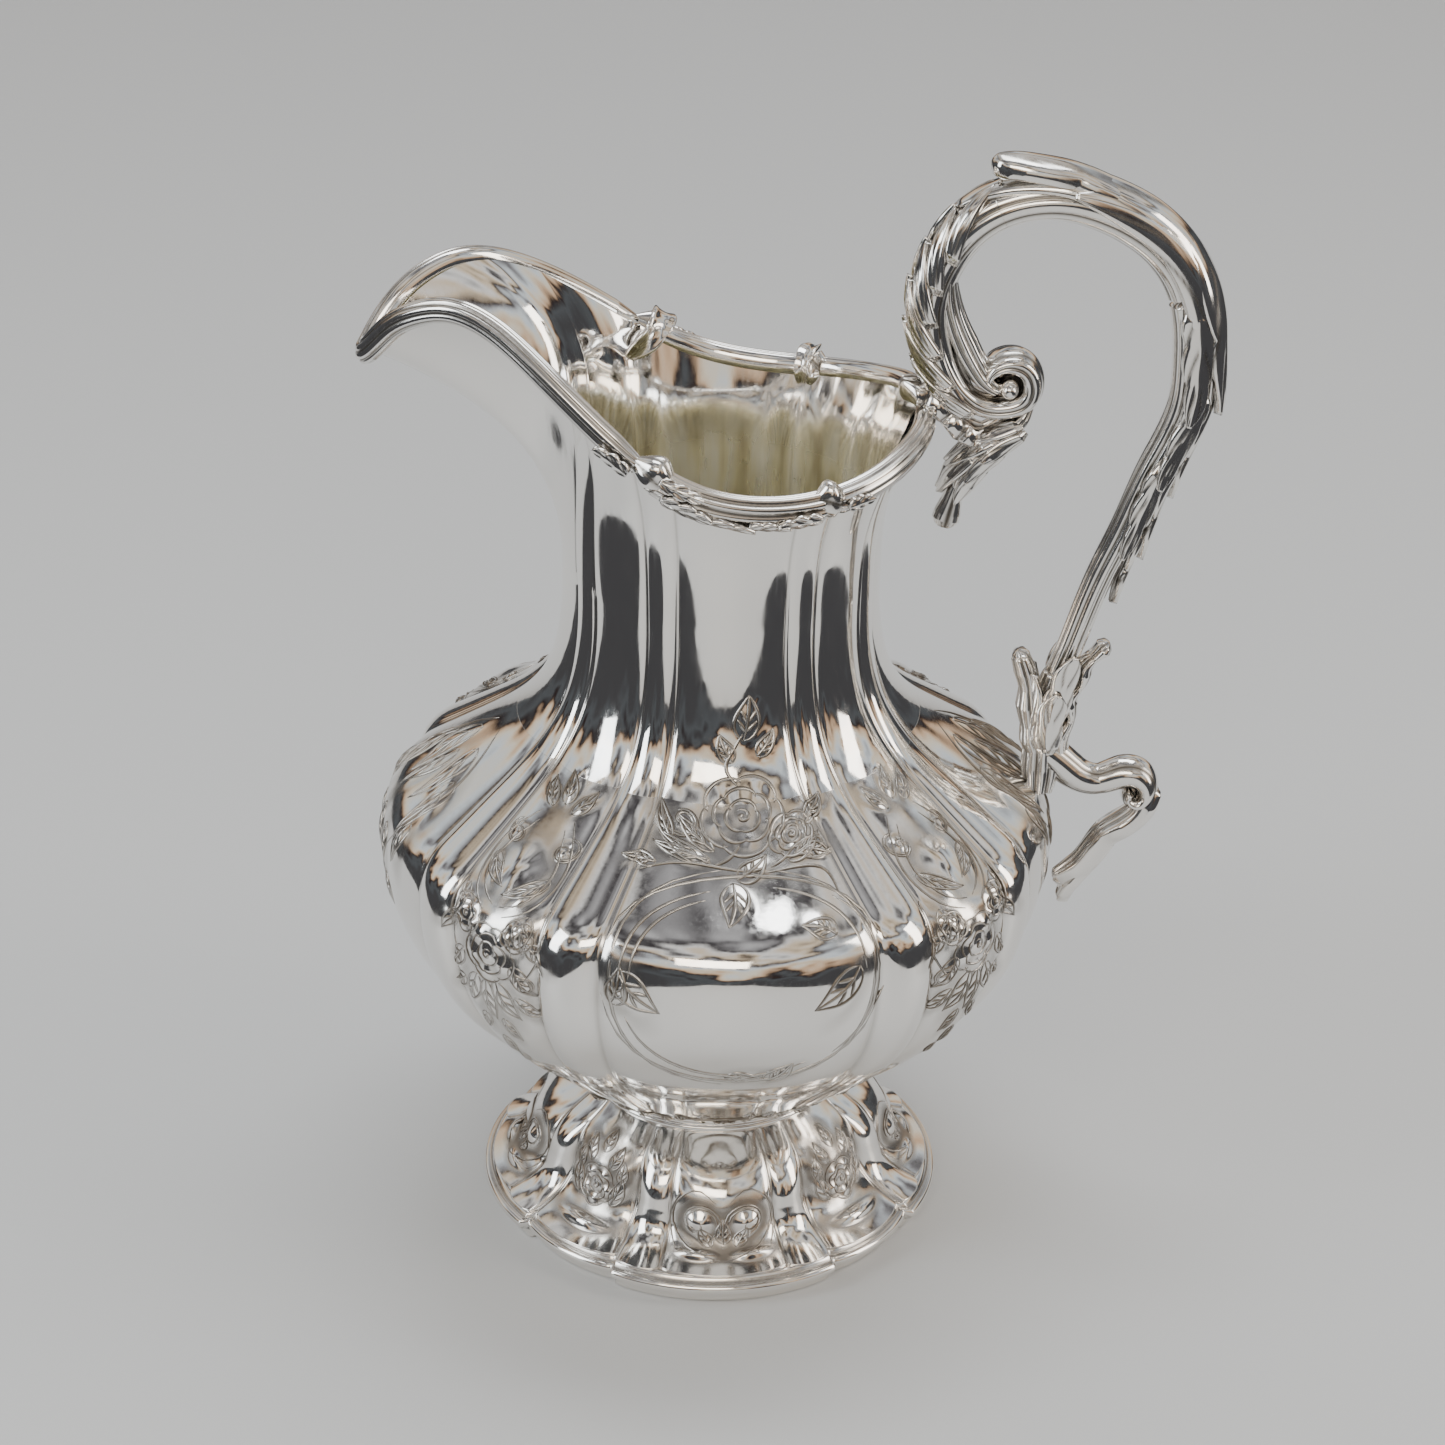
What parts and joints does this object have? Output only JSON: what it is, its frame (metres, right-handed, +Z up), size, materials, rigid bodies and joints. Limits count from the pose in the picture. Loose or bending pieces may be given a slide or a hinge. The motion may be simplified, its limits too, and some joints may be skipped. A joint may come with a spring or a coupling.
{
  "type": "water pitcher",
  "caption": "Silver water pitcher with a melon-panelled bowl, flared neck with a long spout, leafed rim moulding, leafy scroll handle and a scalloped domed foot.",
  "frame": {"origin": "on the ground under the middle of the whole pitcher's plan, so the body's own axis is 14 mm from it towards the spout", "axes": "+Z up; +X from the spout towards the handle; the pitcher is the same on both sides of the plane y = 0"},
  "size_m": [0.2, 0.1646, 0.2802],
  "materials": {
    "raised_silver": "hammer-raised sterling silver sheet, planished and mirror polished, with fine polishing marks",
    "chased_silver": "chased sterling silver sheet, polished on the high parts and warm toned in the recesses",
    "cast_silver": "cast and chased sterling silver, polished on the high parts with darker oxide in the recesses"
  },
  "bodies": {
    "root": {"bowl": "raised_silver", "neck_and_spout": "raised_silver", "spout_border": "cast_silver", "spout_leaf_front": "cast_silver", "spout_leaf_back": "cast_silver", "leafed_rim_front": "cast_silver", "leafed_rim_back": "cast_silver", "mouth_leaf_front": "cast_silver", "mouth_leaf_back": "cast_silver", "reeded_rim_front": "cast_silver", "reeded_rim_back": "cast_silver", "foot_dome": "chased_silver", "foot_collar": "cast_silver", "foot_ring": "cast_silver", "handle_volute": "cast_silver", "handle_riser": "cast_silver", "handle_arch": "cast_silver", "handle_shaft": "cast_silver", "thumb_leaf": "cast_silver", "rim_socket": "cast_silver", "hanging_leaf": "cast_silver", "calyx": "cast_silver", "calyx_leaf_inner": "cast_silver", "calyx_leaf_outer": "cast_silver", "lower_scroll": "cast_silver", "tail_leaf": "cast_silver"}
  },
  "joints": []
}
